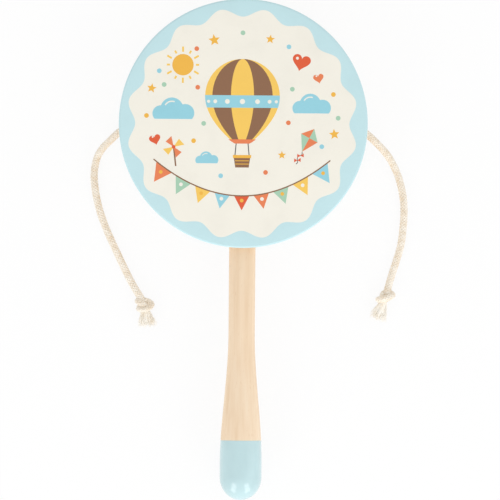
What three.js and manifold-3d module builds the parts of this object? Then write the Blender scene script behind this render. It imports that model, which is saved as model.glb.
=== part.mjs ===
// A hand-twirled toy drum: a shallow wooden drum on a turned handle, with two knotted cords.
// Units are millimetres. It lies on its back head: +Z runs up through the drum, and the
// handle points along -Y. The origin is the centre of the back head's outer face.

import * as THREE from 'three';
import { mergeVertices } from 'three/addons/utils/BufferGeometryUtils.js';
import Module from 'manifold-3d';

const wasm = await Module();
wasm.setup();

// Drum
const HEAD_DIAMETER = 100;
const HEAD_THICKNESS = 3;
const HEAD_EDGE_RADIUS = 0.8;
const HEAD_OVERHANG = 4;
const HOOP_DEPTH = 19;
const HOOP_WALL = 7;

// Handle, from the heads' edge to its tip
const HANDLE_LENGTH = 101.6;
const NECK_DIAMETER = 10.6;
const SWELL_LENGTH = 52;
const GRIP_DIAMETER = 16.9;
const GRIP_LENGTH = 5.3;
const ROUND_END_LENGTH = 9.3;
const TENON_DIAMETER = 7.4;
const TENON_PROUD = 0.6;
const TENON_CLEARANCE = 0.3;
const SEAT_MARGIN = 1;

// Dipped lacquer on the handle's end
const LACQUER_LENGTH = 24.1;
const LACQUER_THICKNESS = 0.5;
const LACQUER_GAP = 0.3;

// Cords
const CORD_DIAMETER = 3;
const CORD_HOLE_CLEARANCE = 0.3;
const CORD_HOLE_DROP = 2.5;
const CORD_GAP = 0.3;
const CORD_SIDES = 8;
const CORD_STEP = 4.5;

// Knots and frayed ends
const KNOT_WIDTH = 8;
const KNOT_LENGTH = 6;
const KNOT_HEIGHT = 6.4;
const STOP_KNOT_DIAMETER = 7.6;
const STOP_KNOT_LENGTH = 5.6;
const STOP_KNOT_TAIL = 5;
const TASSEL_NECK_DIAMETER = 3.4;
const TASSEL_FLATNESS = 0.56;
const TASSEL_DOME = 0.7;

// Facets of round shapes
const DRUM_FACETS = 72;
const HANDLE_FACETS = 36;
const GRIP_STEPS = 8;
const HOLE_FACETS = 24;
const KNOT_FACETS = 16;
const EDGE_STEPS = 2;

const FINISHES = {
  paint: { color: 0xbee2e8, roughness: 0.5, metalness: 0 },
  wood: { color: 0xecd2b2, roughness: 0.6, metalness: 0 },
  lacquer: { color: 0xc0dde1, roughness: 0.2, metalness: 0 },
  cotton: { color: 0xefe3ce, roughness: 0.9, metalness: 0 },
};

// Sizes that follow from the ones above
const headRadius = HEAD_DIAMETER / 2;
const hoopRadius = headRadius - HEAD_OVERHANG;
const hoopInside = hoopRadius - HOOP_WALL;
const frontHeadBack = HEAD_THICKNESS + HOOP_DEPTH;
const midHeight = HEAD_THICKNESS + HOOP_DEPTH / 2;
const neckRadius = NECK_DIAMETER / 2;
const gripRadius = GRIP_DIAMETER / 2;
const tenonRadius = TENON_DIAMETER / 2;
const seatRadius = neckRadius + SEAT_MARGIN;
const seatReach = Math.sqrt(hoopRadius ** 2 - seatRadius ** 2);

// Distances along the handle, from the drum's centre
const tipReach = headRadius + HANDLE_LENGTH;
const roundEndStart = tipReach - ROUND_END_LENGTH;
const gripStart = roundEndStart - GRIP_LENGTH;
const neckEnd = gripStart - SWELL_LENGTH;
const lacquerLine = tipReach - LACQUER_LENGTH;

// Cords
const cordRadius = CORD_DIAMETER / 2;
const cordHoleRadius = cordRadius + CORD_HOLE_CLEARANCE;
const cordStart = hoopRadius + CORD_GAP;

// Cuts through the hoop's wall run from well inside it to the heads' edge
const cutInside = hoopInside / 2;
const cutOutside = headRadius;

// Each cord leaves the hoop square to its wall, drops to the table and lies there. The route
// ends at the knot's centre, and the hinge names the point where the lower stretch bends.
const CORDS = [
  {
    side: 'left',
    sign: -1,
    route: [
      [-cordStart, -CORD_HOLE_DROP, midHeight],
      [-48, -2.6, 12.4],
      [-50.2, -3.9, 11.3],
      [-53.2, -6.7, 8.7],
      [-56.4, -9.9, 5.9],
      [-58.5, -13.1, 3.7],
      [-59.6, -16.6, 2.2],
      [-60.1, -21.1, 1.6],
      [-59.5, -27.5, 1.6],
      [-58.1, -34, 1.6],
      [-55.3, -42, 1.6],
      [-51.7, -50, 1.6],
      [-47.8, -58.1, 1.6],
      [-44.4, -64.7, 2],
      [-39.2, -73.1, 3.3],
    ],
    hinge: 7,
    tasselTip: [-38.1, -81.9, 2.2],
    tasselWidth: 7.6,
  },
  {
    side: 'right',
    sign: 1,
    route: [
      [cordStart, -CORD_HOLE_DROP, midHeight],
      [48, -2.6, 12.4],
      [50.2, -4, 11.3],
      [53.2, -6.7, 8.9],
      [56.4, -9.9, 6.3],
      [59, -13.1, 4.2],
      [61.6, -17.9, 2.3],
      [63.4, -22.7, 1.6],
      [64.8, -29.2, 1.6],
      [65.2, -35.6, 1.6],
      [64.8, -42, 1.6],
      [64, -48.4, 1.6],
      [62.2, -54.9, 1.6],
      [60.2, -61.2, 2],
      [58, -69.4, 3.3],
    ],
    hinge: 7,
    tasselTip: [54.7, -78.4, 2.2],
    tasselWidth: 7,
  },
];
const ROUTE_SAMPLES = 20;

// Joining and cutting

function toSolid(geometry) {
  const bare = geometry.clone();
  bare.deleteAttribute('normal');
  bare.deleteAttribute('uv');
  const merged = mergeVertices(bare);
  const corners = [];
  for (let i = 0; i < merged.index.count; i += 3) {
    const triangle = [0, 1, 2].map((k) => merged.index.getX(i + k));
    if (new Set(triangle).size === 3) corners.push(...triangle);
  }
  return new wasm.Manifold(new wasm.Mesh({
    numProp: 3,
    vertProperties: new Float32Array(merged.attributes.position.array),
    triVerts: new Uint32Array(corners),
  }));
}

function toGeometry(solid) {
  const { vertProperties, triVerts } = solid.getMesh();
  const geometry = new THREE.BufferGeometry();
  geometry.setAttribute('position', new THREE.BufferAttribute(vertProperties, 3));
  geometry.setIndex(new THREE.BufferAttribute(triVerts, 1));
  geometry.computeVertexNormals();
  return geometry;
}

function piece(name, geometry, finish) {
  const mesh = new THREE.Mesh(geometry, new THREE.MeshStandardMaterial(finish));
  mesh.name = name;
  return mesh;
}

// Round shapes

function turnedAboutZ(outline) {
  return new THREE.LatheGeometry(outline, DRUM_FACETS).rotateX(Math.PI / 2);
}

function rodAlongX(radius, from, to) {
  return new THREE.CylinderGeometry(radius, radius, Math.abs(to - from), HOLE_FACETS)
    .rotateZ(Math.PI / 2)
    .translate((from + to) / 2, 0, 0);
}

function rodAlongY(radius, from, to) {
  return new THREE.CylinderGeometry(radius, radius, Math.abs(to - from), HOLE_FACETS)
    .translate(0, (from + to) / 2, 0);
}

// Drum

function headGeometry(bottom) {
  const top = bottom + HEAD_THICKNESS;
  const edge = headRadius - HEAD_EDGE_RADIUS;
  const outline = new THREE.Path();
  outline.moveTo(0, bottom);
  outline.lineTo(edge, bottom);
  outline.absarc(edge, bottom + HEAD_EDGE_RADIUS, HEAD_EDGE_RADIUS, -Math.PI / 2, 0);
  outline.lineTo(headRadius, top - HEAD_EDGE_RADIUS);
  outline.absarc(edge, top - HEAD_EDGE_RADIUS, HEAD_EDGE_RADIUS, 0, Math.PI / 2);
  outline.lineTo(0, top);
  return turnedAboutZ(outline.getPoints(EDGE_STEPS));
}

function hoopGeometry() {
  const ring = turnedAboutZ([
    new THREE.Vector2(hoopInside, HEAD_THICKNESS),
    new THREE.Vector2(hoopRadius, HEAD_THICKNESS),
    new THREE.Vector2(hoopRadius, frontHeadBack),
    new THREE.Vector2(hoopInside, frontHeadBack),
    new THREE.Vector2(hoopInside, HEAD_THICKNESS),
  ]);
  const socket = rodAlongY(tenonRadius + TENON_CLEARANCE, -cutOutside, -cutInside)
    .translate(0, 0, midHeight);
  const seat = rodAlongY(seatRadius, -cutOutside, -seatReach).translate(0, 0, midHeight);
  let solid = toSolid(ring).subtract(toSolid(socket)).subtract(toSolid(seat));
  for (const { sign } of CORDS) {
    const hole = rodAlongX(cordHoleRadius, sign * cutInside, sign * cutOutside)
      .translate(0, -CORD_HOLE_DROP, midHeight);
    solid = solid.subtract(toSolid(hole));
  }
  return toGeometry(solid);
}

// Handle

function gripRadiusAt(reach, inset) {
  if (reach <= neckEnd) return neckRadius - inset;
  if (reach >= roundEndStart) {
    const share = (reach - roundEndStart) / (ROUND_END_LENGTH - inset);
    return (gripRadius - inset) * Math.sqrt(Math.max(0, 1 - share ** 2));
  }
  const swell = THREE.MathUtils.smoothstep(reach, neckEnd, gripStart);
  return THREE.MathUtils.lerp(neckRadius, gripRadius, swell) - inset;
}

function roundEnd(inset) {
  const end = new THREE.EllipseCurve(
    0, -roundEndStart, gripRadius - inset, ROUND_END_LENGTH - inset, -Math.PI / 2, 0,
  );
  const points = end.getPoints(GRIP_STEPS);
  points[0].x = 0;
  return points;
}

function gripSide(from, to, inset) {
  const points = [];
  for (let i = 0; i <= GRIP_STEPS; i += 1) {
    const reach = THREE.MathUtils.lerp(from, to, i / GRIP_STEPS);
    points.push(new THREE.Vector2(gripRadiusAt(reach, inset), -reach));
  }
  return points;
}

function handleGeometry() {
  const inset = LACQUER_THICKNESS + LACQUER_GAP;
  const ledge = lacquerLine - LACQUER_GAP;
  const tenonEnd = -hoopInside + TENON_PROUD;
  return new THREE.LatheGeometry([
    ...roundEnd(inset),
    ...gripSide(gripStart, ledge, inset),
    ...gripSide(ledge, neckEnd, 0),
    new THREE.Vector2(neckRadius, -seatReach),
    new THREE.Vector2(tenonRadius, -seatReach),
    new THREE.Vector2(tenonRadius, tenonEnd),
    new THREE.Vector2(0, tenonEnd),
  ], HANDLE_FACETS).translate(0, 0, midHeight);
}

function lacquerGeometry() {
  const outside = [...roundEnd(0), ...gripSide(gripStart, lacquerLine, 0)];
  const inside = [
    ...roundEnd(LACQUER_THICKNESS),
    ...gripSide(gripStart, lacquerLine, LACQUER_THICKNESS),
  ];
  return new THREE.LatheGeometry([...outside, ...inside.reverse()], HANDLE_FACETS)
    .translate(0, 0, midHeight);
}

// Cords

// The part of a route between two distances along it.
class RouteStretch extends THREE.Curve {
  constructor(route, from, to) {
    super();
    this.route = route;
    this.from = from;
    this.to = to;
  }

  getPoint(share, target = new THREE.Vector3()) {
    const along = THREE.MathUtils.lerp(this.from, this.to, share);
    return this.route.getPointAt(along / this.route.getLength(), target);
  }
}

function routeOf(points) {
  const route = new THREE.CatmullRomCurve3(points.map((p) => new THREE.Vector3(...p)));
  route.arcLengthDivisions = (points.length - 1) * ROUTE_SAMPLES;
  return route;
}

function cordGeometry(route, from, to) {
  const section = new THREE.Shape();
  section.absarc(0, 0, cordRadius, 0, 2 * Math.PI);
  return new THREE.ExtrudeGeometry(section, {
    steps: Math.ceil((to - from) / CORD_STEP),
    curveSegments: CORD_SIDES / 2,
    bevelEnabled: false,
    extrudePath: new RouteStretch(route, from, to),
  });
}

// The frame of a knot or tassel: its length lies along a direction, its height points up.
function layAlong(direction, origin) {
  const back = direction.clone().normalize().negate();
  const across = back.clone().cross(new THREE.Vector3(0, 0, 1)).normalize();
  const up = across.clone().cross(back);
  return new THREE.Matrix4().makeBasis(across, back, up).setPosition(origin);
}

function knotGeometry(direction, centre, swell) {
  return new THREE.SphereGeometry(1, KNOT_FACETS, KNOT_FACETS / 2)
    .scale(KNOT_WIDTH / 2 + swell, KNOT_LENGTH / 2 + swell, KNOT_HEIGHT / 2 + swell)
    .applyMatrix4(layAlong(direction, centre));
}

function tasselGeometry(fall, centre, width) {
  const length = fall.length();
  return new THREE.LatheGeometry([
    new THREE.Vector2(0, -length),
    new THREE.Vector2(width / 2, TASSEL_DOME - length),
    new THREE.Vector2(TASSEL_NECK_DIAMETER / 2, 0),
    new THREE.Vector2(0, 0),
  ], KNOT_FACETS).scale(1, 1, TASSEL_FLATNESS).applyMatrix4(layAlong(fall, centre));
}

function stopKnotGeometry(sign) {
  const outer = hoopInside - CORD_GAP;
  const centre = sign * (outer - STOP_KNOT_LENGTH / 2);
  const tailEnd = sign * (outer - STOP_KNOT_LENGTH - STOP_KNOT_TAIL);
  const half = STOP_KNOT_DIAMETER / 2;
  const lump = new THREE.SphereGeometry(1, KNOT_FACETS, KNOT_FACETS / 2)
    .scale(STOP_KNOT_LENGTH / 2, half, half)
    .translate(centre, 0, 0);
  const tail = rodAlongX(cordRadius, centre, tailEnd);
  return toGeometry(toSolid(lump).add(toSolid(tail)));
}

function cordPieces({ side, sign, route: points, hinge, tasselTip, tasselWidth }) {
  const route = routeOf(points);
  const length = route.getLength();
  const hingeAt = route.getLengths()[hinge * ROUTE_SAMPLES];
  const centre = route.getPoint(1);
  const fall = new THREE.Vector3(...tasselTip).sub(centre);
  const knot = knotGeometry(fall, centre, 0);
  const roomForKnot = toSolid(knotGeometry(fall, centre, CORD_GAP));
  const bend = new THREE.SphereGeometry(cordRadius, KNOT_FACETS, KNOT_FACETS / 2)
    .translate(...points[hinge]);
  const lower = toSolid(cordGeometry(route, hingeAt, length))
    .add(toSolid(bend))
    .subtract(roomForKnot);
  const tassel = toSolid(tasselGeometry(fall, centre, tasselWidth)).subtract(roomForKnot);
  const upper = cordGeometry(route, 0, hingeAt - cordRadius - CORD_GAP);

  const inHoop = new THREE.Group();
  inHoop.position.set(0, -CORD_HOLE_DROP, midHeight);
  const threaded = rodAlongX(cordRadius, sign * hoopInside, sign * hoopRadius);
  inHoop.add(
    piece(`${side}_stop_knot`, stopKnotGeometry(sign), FINISHES.cotton),
    piece(`${side}_cord_in_hoop`, threaded, FINISHES.cotton),
  );
  return [
    inHoop,
    piece(`${side}_cord_upper`, upper, FINISHES.cotton),
    piece(`${side}_cord_lower`, toGeometry(lower), FINISHES.cotton),
    piece(`${side}_end_knot`, knot, FINISHES.cotton),
    piece(`${side}_tassel`, toGeometry(tassel), FINISHES.cotton),
  ];
}

// Assembly

const drum = new THREE.Group();
drum.add(
  piece('back_head', headGeometry(0), FINISHES.paint),
  piece('drum_hoop', hoopGeometry(), FINISHES.wood),
  piece('front_head', headGeometry(frontHeadBack), FINISHES.paint),
  piece('handle', handleGeometry(), FINISHES.wood),
  piece('handle_lacquer', lacquerGeometry(), FINISHES.lacquer),
);
for (const cord of CORDS) drum.add(...cordPieces(cord));

export default drum;
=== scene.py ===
"""A hand-twirled toy drum: painted plywood heads, a bent-wood hoop, a dipped handle and two knotted cords.

Sizes and places are in millimetres until a mesh is published, apart from the lamps' own sizes, and every
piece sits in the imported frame.
"""

import logging
import math
from collections.abc import Callable, Sequence
from dataclasses import dataclass, field
from enum import Enum
from random import Random

import bmesh
import bpy
from mathutils import Matrix, Vector


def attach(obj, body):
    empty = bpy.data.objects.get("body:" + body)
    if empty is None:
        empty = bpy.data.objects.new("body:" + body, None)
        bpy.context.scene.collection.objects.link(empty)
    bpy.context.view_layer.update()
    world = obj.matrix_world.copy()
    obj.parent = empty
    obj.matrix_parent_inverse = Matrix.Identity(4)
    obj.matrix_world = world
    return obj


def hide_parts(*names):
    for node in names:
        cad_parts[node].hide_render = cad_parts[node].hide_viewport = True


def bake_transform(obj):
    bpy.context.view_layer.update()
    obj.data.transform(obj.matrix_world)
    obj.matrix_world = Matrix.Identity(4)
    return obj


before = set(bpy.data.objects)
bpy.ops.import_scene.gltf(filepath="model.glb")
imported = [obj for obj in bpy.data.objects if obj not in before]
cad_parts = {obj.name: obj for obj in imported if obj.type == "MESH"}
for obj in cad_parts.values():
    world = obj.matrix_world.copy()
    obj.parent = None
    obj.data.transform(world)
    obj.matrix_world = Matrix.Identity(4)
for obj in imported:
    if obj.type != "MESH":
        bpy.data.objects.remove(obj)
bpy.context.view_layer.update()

LOG = logging.getLogger("toy_drum")

MM = 0.001
FULL_TURN = 2 * math.pi
GOLDEN_SHARE = (3 - math.sqrt(5)) / 2
SMOOTH_ANGLE = math.radians(32)
MERGE_GAP = 1e-5
SLIVER = 1e-6
NEARLY_NOTHING = 1e-9

# Sizes that several pieces share
HEAD_RADIUS = 50.0
HEAD_THICKNESS = 3.0
HOOP_RADIUS = 46.0
HOOP_WALL = 7.0
HOOP_DEPTH = 19.0
HOOP_INSIDE = HOOP_RADIUS - HOOP_WALL
HOOP_TOP = HEAD_THICKNESS + HOOP_DEPTH
MID_HEIGHT = HEAD_THICKNESS + HOOP_DEPTH / 2
NECK_RADIUS = 5.3
TENON_RADIUS = 3.7
SEAT_REACH = 45.57
CORD_DIAMETER = 3.0

Point2 = tuple[float, float]
Point3 = tuple[float, float, float]
Srgb = tuple[int, int, int]
Colour = tuple[float, float, float, float]
Node = bpy.types.Node
Socket = bpy.types.NodeSocket
Material = bpy.types.Material
Piece = bpy.types.Object
BMesh = bmesh.types.BMesh


class Body(Enum):
    """The bodies that pieces ride on."""

    DRUM = "drum"
    LEFT_UPPER = "left_upper_cord"
    LEFT_LOWER = "left_lower_cord"
    RIGHT_UPPER = "right_upper_cord"
    RIGHT_LOWER = "right_lower_cord"


class Slot(Enum):
    """The record's material slots."""

    HEAD = "painted_head"
    WOOD = "natural_wood"
    LACQUER = "blue_lacquer"
    CORD = "cotton_cord"


class Ink(Enum):
    """Colours of paint and print, as sRGB bytes."""

    RIM = (196, 228, 233)
    CREAM = (244, 240, 228)
    SKY = (151, 210, 224)
    YELLOW = (248, 203, 96)
    GOLD = (241, 184, 72)
    ORANGE = (233, 130, 84)
    RED = (224, 92, 52)
    GREEN = (168, 207, 180)
    BROWN = (140, 101, 73)
    INDIGO = (74, 68, 70)


class Layer(Enum):
    """How many layers of ink lie up to a printed shape's top."""

    FIELD = 1
    BACK = 2
    MOTIF = 3
    DETAIL = 4


class WoodTone(Enum):
    """Tones of bare wood, as sRGB bytes."""

    BEECH_LIGHT = (244, 224, 197)
    BEECH_MID = (240, 215, 185)
    BEECH_DARK = (230, 201, 167)
    FLECK = (212, 174, 135)
    WORN = (222, 196, 158)


def linear(srgb: Srgb) -> Colour:
    """Turn sRGB bytes into a linear colour with full alpha, by the sRGB standard's own curve.

    Args:
        srgb: Red, green and blue from 0 to 255.

    Returns:
        The linear colour that a shader socket takes.
    """
    shares = [channel / 255 for channel in srgb]
    light = [s / 12.92 if s <= 0.04045 else ((s + 0.055) / 1.055) ** 2.4 for s in shares]
    return (light[0], light[1], light[2], 1.0)


def shaded(colour: Colour, share: float) -> Colour:
    """Darken or lighten a linear colour by a share."""
    red, green, blue = (min(1.0, channel * share) for channel in colour[:3])
    return (red, green, blue, 1.0)


def smoothstep(value: float, low: float, high: float) -> float:
    """Ease from 0 to 1 between two values."""
    share = min(1.0, max(0.0, (value - low) / (high - low)))
    return share * share * (3 - 2 * share)


# Materials


class NodeSheet:
    """A material's node tree, with short calls to add and join nodes."""

    def __init__(self, name: str) -> None:
        """Start a material with a plain shader.

        Args:
            name: The material's name.
        """
        self.material = bpy.data.materials.new(name)
        self.material.use_nodes = True
        self.tree = self.material.node_tree
        self.shader = self.tree.nodes["Principled BSDF"]
        self.place = self.add("ShaderNodeTexCoord").outputs["Object"]

    def add(self, kind: str, inputs: dict[str | int, object] | None = None, **settings: object) -> Node:
        """Add a node.

        Args:
            kind: The node's type.
            inputs: Values, or sockets to join, by socket name or index.
            settings: Properties of the node itself.

        Returns:
            The new node.
        """
        node = self.tree.nodes.new(kind)
        for key, value in settings.items():
            setattr(node, key, value)
        for key, value in (inputs or {}).items():
            self.put(node, key, value)
        return node

    def put(self, node: Node, socket: str | int, value: object) -> None:
        """Set or join one input of a node.

        Args:
            node: The node.
            socket: The input's name or index.
            value: A socket to join, or a plain value.
        """
        if isinstance(value, Socket):
            self.tree.links.new(value, node.inputs[socket])
        else:
            node.inputs[socket].default_value = value

    def math(self, operation: str, first: object, second: object) -> Socket:
        """Work out one number from two sockets or numbers."""
        return self.add("ShaderNodeMath", {0: first, 1: second}, operation=operation).outputs[0]

    def from_axis(self) -> Socket:
        """Measure the distance from the z axis, in metres."""
        flat = self.add("ShaderNodeVectorMath", {0: self.place, 1: (1.0, 1.0, 0.0)}, operation="MULTIPLY")
        return self.add("ShaderNodeVectorMath", {0: flat.outputs[0]}, operation="LENGTH").outputs["Value"]

    def noise(self, scale: Point3, detail: float, rough: float = 0.55, space: Socket | None = None) -> Socket:
        """Add a noise pattern.

        Args:
            scale: Pattern units for each metre along x, y and z.
            detail: Octaves of finer noise.
            rough: Strength of the finer octaves.
            space: The space that the pattern lies in, or None for Object coordinates.

        Returns:
            The noise value's socket.
        """
        scaled = self.add("ShaderNodeMapping", {"Vector": space or self.place, "Scale": scale})
        values = {"Vector": scaled.outputs["Vector"], "Scale": 1.0, "Detail": detail, "Roughness": rough}
        return self.add("ShaderNodeTexNoise", values).outputs["Fac"]

    def ramp(self, value: Socket, positions: Sequence[float], colours: Sequence[Colour]) -> Socket:
        """Map a value to colours.

        Args:
            value: The value's socket.
            positions: Where each colour lies, in order.
            colours: The linear colours.

        Returns:
            The colour's socket.
        """
        node = self.add("ShaderNodeValToRGB", {"Fac": value})
        elements = node.color_ramp.elements
        while len(elements) < len(positions):
            elements.new(1.0)
        for element, position, colour in zip(elements, positions, colours):
            element.position = position
            element.color = colour
        return node.outputs["Color"]

    def span(self, value: Socket, reach: Point2, to: Point2 = (0.0, 1.0)) -> Socket:
        """Map a range of a value to another range, clamped.

        Args:
            value: The value's socket.
            reach: The first range.
            to: The second range.

        Returns:
            The mapped value's socket.
        """
        names = ("From Min", "From Max", "To Min", "To Max")
        values = {"Value": value, **dict(zip(names, (*reach, *to)))}
        return self.add("ShaderNodeMapRange", values).outputs["Result"]

    def mix(self, share: object, first: object, second: object, blend: str = "MIX") -> Socket:
        """Mix two colours, by a share of the second one."""
        colour_inputs = {0: share, 6: first, 7: second}
        return self.add("ShaderNodeMix", colour_inputs, data_type="RGBA", blend_type=blend).outputs[2]

    def bump(self, height: Socket, depth: float, strength: float = 1.0) -> None:
        """Give the shader a bumped normal, with bumps of a depth in millimetres."""
        values = {"Height": height, "Distance": depth * MM, "Strength": strength}
        self.put(self.shader, "Normal", self.add("ShaderNodeBump", values).outputs["Normal"])

    def dress(self, colour: object, roughness: object, constants: dict[str, float]) -> Material:
        """Set the shader's colour, roughness and constants.

        Args:
            colour: A colour or its socket.
            roughness: A number or its socket.
            constants: Other shader sockets by name, the same all over the surface.

        Returns:
            The finished material.
        """
        self.put(self.shader, "Base Color", colour)
        self.put(self.shader, "Roughness", roughness)
        for key, value in constants.items():
            self.shader.inputs[key].default_value = value
        return self.material


@dataclass(frozen=True)
class PaintFinish:
    """Satin paint or print with faint mottling and a fine roller texture."""

    name: str
    tone: Srgb
    mottle: float = 0.014
    deepening: float = 2.2
    cloud_scale: Point3 = (90.0, 90.0, 90.0)
    cloud_stops: Point3 = (0.28, 0.5, 0.74)
    stipple_scale: Point3 = (2600.0, 2600.0, 2600.0)
    stipple_range: Point2 = (0.35, 0.7)
    stipple_depth: float = 0.012
    gloss_range: Point2 = (0.3, 0.7)
    roughness: Point2 = (0.45, 0.56)
    specular: float = 0.4
    wear_from: float | None = None
    wear_band: Point2 = (0.2, 0.7)
    wear_scale: Point3 = (520.0, 520.0, 900.0)
    wear_range: Point2 = (0.69, 0.75)

    def worn(self, sheet: NodeSheet, colour: Socket) -> Socket:
        """Rub specks of the paint off a disc's edge.

        Args:
            sheet: The material's node tree.
            colour: The paint's colour.

        Returns:
            The colour with bare specks past the radius where the wear starts.
        """
        none, full = ((self.wear_from + past) * MM for past in self.wear_band)
        edge = sheet.span(sheet.from_axis(), (none, full))
        specks = sheet.span(sheet.noise(self.wear_scale, detail=4.0), self.wear_range)
        return sheet.mix(sheet.math("MULTIPLY", edge, specks), colour, linear(WoodTone.WORN.value))

    def build(self) -> Material:
        """Make the material.

        Returns:
            The painted material.
        """
        sheet = NodeSheet(self.name)
        cloud = sheet.noise(self.cloud_scale, detail=4.0)
        stipple = sheet.noise(self.stipple_scale, detail=2.0)
        tone = linear(self.tone)
        tones = (shaded(tone, 1 - self.deepening * self.mottle), tone, shaded(tone, 1 + self.mottle))
        colour = sheet.ramp(cloud, self.cloud_stops, tones)
        speckle = sheet.span(stipple, self.stipple_range, (1.0 - self.mottle, 1.0))
        colour = sheet.mix(1.0, colour, speckle, "MULTIPLY")
        if self.wear_from is not None:
            colour = self.worn(sheet, colour)
        sheet.bump(stipple, self.stipple_depth)
        spread = sheet.span(cloud, self.gloss_range, self.roughness)
        return sheet.dress(colour, spread, {"Specular IOR Level": self.specular})


class GrainRun(Enum):
    """Which way the grain of a wooden piece runs."""

    ALONG_Y = "along the handle"
    ROUND_Z = "round the hoop"


@dataclass(frozen=True)
class BeechFinish:
    """Bare beech with soft growth bands, fine pores and short ray flecks."""

    name: str
    run: GrainRun
    seed_shift: Point3 = (0.0, 0.0, 0.0)
    band_scale: Point3 = (330.0, 9.0, 330.0)
    band_roughness: float = 0.6
    band_stops: Point3 = (0.3, 0.5, 0.72)
    patch_scale: Point3 = (40.0, 22.0, 40.0)
    patch_range: Point2 = (0.35, 0.7)
    patch_share: float = 0.45
    pore_scale: Point3 = (2300.0, 70.0, 2300.0)
    pore_range: Point2 = (0.52, 0.72)
    pore_share: float = 0.16
    pore_depth: float = 0.05
    pore_strength: float = 0.6
    fleck_scale: Point3 = (1500.0, 330.0, 1500.0)
    fleck_range: Point2 = (0.66, 0.78)
    fleck_share: float = 0.3
    gloss_range: Point2 = (0.3, 0.7)
    roughness: Point2 = (0.5, 0.62)
    specular: float = 0.35

    def grain_space(self, sheet: NodeSheet) -> Socket:
        """Lay a space whose y runs along the grain.

        Args:
            sheet: The material's node tree.

        Returns:
            The space's vector socket, in metres.
        """
        if self.run is GrainRun.ALONG_Y:
            shift = sheet.add("ShaderNodeVectorMath", {0: sheet.place, 1: self.seed_shift}, operation="ADD")
            return shift.outputs["Vector"]
        parts = sheet.add("ShaderNodeSeparateXYZ", {"Vector": sheet.place}).outputs
        angle = sheet.math("ARCTAN2", parts["X"], parts["Y"])
        along = sheet.math("MULTIPLY", angle, HOOP_RADIUS * MM)
        joined = sheet.add("ShaderNodeCombineXYZ", {"X": sheet.from_axis(), "Y": along, "Z": parts["Z"]})
        return joined.outputs["Vector"]

    def build(self) -> Material:
        """Make the material.

        Returns:
            The wooden material.
        """
        sheet = NodeSheet(self.name)
        space = self.grain_space(sheet)
        bands = sheet.noise(self.band_scale, detail=4.0, rough=self.band_roughness, space=space)
        pores = sheet.noise(self.pore_scale, detail=2.0, space=space)
        flecks = sheet.noise(self.fleck_scale, detail=1.0, space=space)
        patches = sheet.noise(self.patch_scale, detail=2.0, space=space)
        light, mid, dark = (linear(tone.value) for tone in (
            WoodTone.BEECH_LIGHT, WoodTone.BEECH_MID, WoodTone.BEECH_DARK))
        colour = sheet.ramp(bands, self.band_stops, (light, mid, dark))
        for pattern, reach, share, tone in (
            (patches, self.patch_range, self.patch_share, light),
            (pores, self.pore_range, self.pore_share, dark),
            (flecks, self.fleck_range, self.fleck_share, linear(WoodTone.FLECK.value)),
        ):
            colour = sheet.mix(sheet.span(pattern, reach, (0.0, share)), colour, tone)
        sheet.bump(pores, self.pore_depth, self.pore_strength)
        spread = sheet.span(bands, self.gloss_range, self.roughness)
        return sheet.dress(colour, spread, {"Specular IOR Level": self.specular})


@dataclass(frozen=True)
class LacquerFinish:
    """Glossy dipped lacquer with a slow ripple in its surface."""

    name: str
    tone: Srgb = (190, 219, 223)
    deepening: float = 0.94
    ripple_scale: Point3 = (150.0, 90.0, 150.0)
    ripple_range: Point2 = (0.35, 0.7)
    ripple_depth: float = 0.03
    ripple_strength: float = 0.3
    dust_scale: Point3 = (1900.0, 1900.0, 1900.0)
    dust_range: Point2 = (0.45, 0.75)
    roughness: Point2 = (0.2, 0.27)
    coat: float = 0.55
    coat_roughness: float = 0.11
    specular: float = 0.5

    def build(self) -> Material:
        """Make the material.

        Returns:
            The lacquer's material.
        """
        sheet = NodeSheet(self.name)
        ripple = sheet.noise(self.ripple_scale, detail=1.0)
        dust = sheet.noise(self.dust_scale, detail=2.0)
        tone = linear(self.tone)
        colour = sheet.mix(sheet.span(ripple, self.ripple_range), tone, shaded(tone, self.deepening))
        sheet.bump(ripple, self.ripple_depth, self.ripple_strength)
        return sheet.dress(colour, sheet.span(dust, self.dust_range, self.roughness), {
            "Coat Weight": self.coat,
            "Coat Roughness": self.coat_roughness,
            "Specular IOR Level": self.specular,
        })


@dataclass(frozen=True)
class CottonFinish:
    """Undyed cotton yarn with uneven fibres and a soft sheen."""

    name: str
    pale: Srgb = (250, 243, 231)
    deep: Srgb = (239, 225, 204)
    sheen: float = 0.25
    sheen_roughness: float = 0.5
    tuft_scale: Point3 = (420.0, 420.0, 420.0)
    tuft_stops: Point2 = (0.3, 0.62)
    fibre_scale: Point3 = (5200.0, 5200.0, 5200.0)
    fibre_roughness: float = 0.65
    fibre_range: Point2 = (0.3, 0.65)
    fibre_shade: Point2 = (0.96, 1.0)
    fibre_depth: float = 0.05
    fibre_strength: float = 0.7
    gloss_range: Point2 = (0.3, 0.7)
    roughness: Point2 = (0.82, 0.95)
    specular: float = 0.2

    def build(self) -> Material:
        """Make the material.

        Returns:
            The yarn's material.
        """
        sheet = NodeSheet(self.name)
        tufts = sheet.noise(self.tuft_scale, detail=3.0)
        fibre = sheet.noise(self.fibre_scale, detail=3.0, rough=self.fibre_roughness)
        colour = sheet.ramp(tufts, self.tuft_stops, (linear(self.deep), linear(self.pale)))
        shade = sheet.span(fibre, self.fibre_range, self.fibre_shade)
        colour = sheet.mix(1.0, colour, shade, "MULTIPLY")
        sheet.bump(fibre, self.fibre_depth, self.fibre_strength)
        return sheet.dress(colour, sheet.span(fibre, self.gloss_range, self.roughness), {
            "Sheen Weight": self.sheen,
            "Sheen Roughness": self.sheen_roughness,
            "Specular IOR Level": self.specular,
        })


# Meshes


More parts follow.
